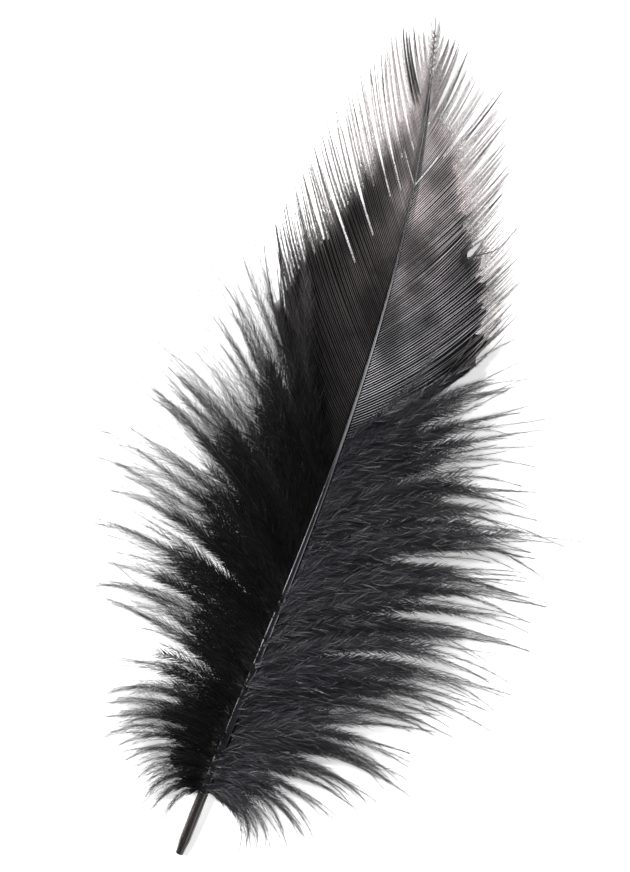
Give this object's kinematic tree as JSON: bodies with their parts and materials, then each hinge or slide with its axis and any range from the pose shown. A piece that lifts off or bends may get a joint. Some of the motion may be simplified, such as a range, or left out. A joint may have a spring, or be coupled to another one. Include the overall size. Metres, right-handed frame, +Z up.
{
  "type": "feather",
  "caption": "Black-dyed fowl body feather with a blunt hollow calamus, bowed rachis, closed vane over the tip half and long down below.",
  "frame": {"origin": "middle of the box around the feather, at the surface that it lies on", "axes": "+Y from the calamus end to the tip, +Z up from the surface, +X to the feather's right seen from above"},
  "size_m": [0.0611, 0.1144, 0.0043],
  "materials": {
    "calamus_keratin": "gloss",
    "rachis_keratin": "satin",
    "pith": "matte",
    "vane_left": "satin",
    "vane_right": "satin",
    "stuck_barbs": "satin",
    "down_left": "matte",
    "down_right": "matte"
  },
  "bodies": {
    "shaft": {"calamus": "calamus_keratin", "lower_umbilicus": "pith", "pulp_cap_stack": "pith", "upper_umbilicus": "pith", "rachis_cortex": "rachis_keratin", "rachis_pith": "pith"},
    "tip_left": {"tip_barbs_left": "vane_left", "twisted_barbs_left": "stuck_barbs"},
    "vane_left": {"upper_vane_left": "vane_left", "middle_vane_left": "vane_left", "lower_vane_left": "vane_left"},
    "down_left": {"upper_down_left": "down_left", "middle_down_left": "down_left", "lower_down_left": "down_left"},
    "tuft_left": {"base_tuft_left": "down_left"},
    "tip_right": {"tip_barbs_right": "vane_right"},
    "vane_right": {"upper_vane_right": "vane_right", "middle_vane_right": "vane_right", "kinked_lock_right": "stuck_barbs", "lower_vane_right": "vane_right"},
    "down_right": {"upper_down_right": "down_right", "middle_down_right": "down_right", "lower_down_right": "down_right"},
    "tuft_right": {"base_tuft_right": "down_right"}
  },
  "joints": [
    {"name": "tip_left_flex", "type": "hinge", "parent": "shaft", "child": "tip_left", "pos_m": [-0.003, 0.04536, 0.00183], "axis": [-0.1619, 0.9811, -0.1059], "range_deg": [0, 35], "stiffness_Nm_per_rad": 0.002},
    {"name": "vane_left_flex", "type": "hinge", "parent": "shaft", "child": "vane_left", "pos_m": [-0.00088, 0.01604, 0.00351], "axis": [-0.0177, 0.9994, -0.0296], "range_deg": [0, 30], "stiffness_Nm_per_rad": 0.002},
    {"name": "down_left_flex", "type": "hinge", "parent": "shaft", "child": "down_left", "pos_m": [-0.00267, -0.02297, 0.00303], "axis": [0.0802, 0.9954, 0.052], "range_deg": [0, 25], "stiffness_Nm_per_rad": 0.002},
    {"name": "tuft_left_flex", "type": "hinge", "parent": "shaft", "child": "tuft_left", "pos_m": [-0.00477, -0.04552, 0.00174], "axis": [0.0886, 0.9922, 0.0874], "range_deg": [0, 35], "stiffness_Nm_per_rad": 0.002},
    {"name": "tip_right_flex", "type": "hinge", "parent": "shaft", "child": "tip_right", "pos_m": [-0.00247, 0.04545, 0.00179], "axis": [0.1619, -0.9811, 0.1059], "range_deg": [0, 35], "stiffness_Nm_per_rad": 0.002},
    {"name": "vane_right_flex", "type": "hinge", "parent": "shaft", "child": "vane_right", "pos_m": [-0.00014, 0.01804, 0.00345], "axis": [0.0249, -0.9991, 0.0342], "range_deg": [0, 30], "stiffness_Nm_per_rad": 0.002},
    {"name": "down_right_flex", "type": "hinge", "parent": "shaft", "child": "down_right", "pos_m": [-0.00131, -0.02106, 0.00305], "axis": [-0.077, -0.9959, -0.0482], "range_deg": [0, 25], "stiffness_Nm_per_rad": 0.002},
    {"name": "tuft_right_flex", "type": "hinge", "parent": "shaft", "child": "tuft_right", "pos_m": [-0.00307, -0.04568, 0.00174], "axis": [-0.0886, -0.9922, -0.0874], "range_deg": [0, 35], "stiffness_Nm_per_rad": 0.002}
  ]
}
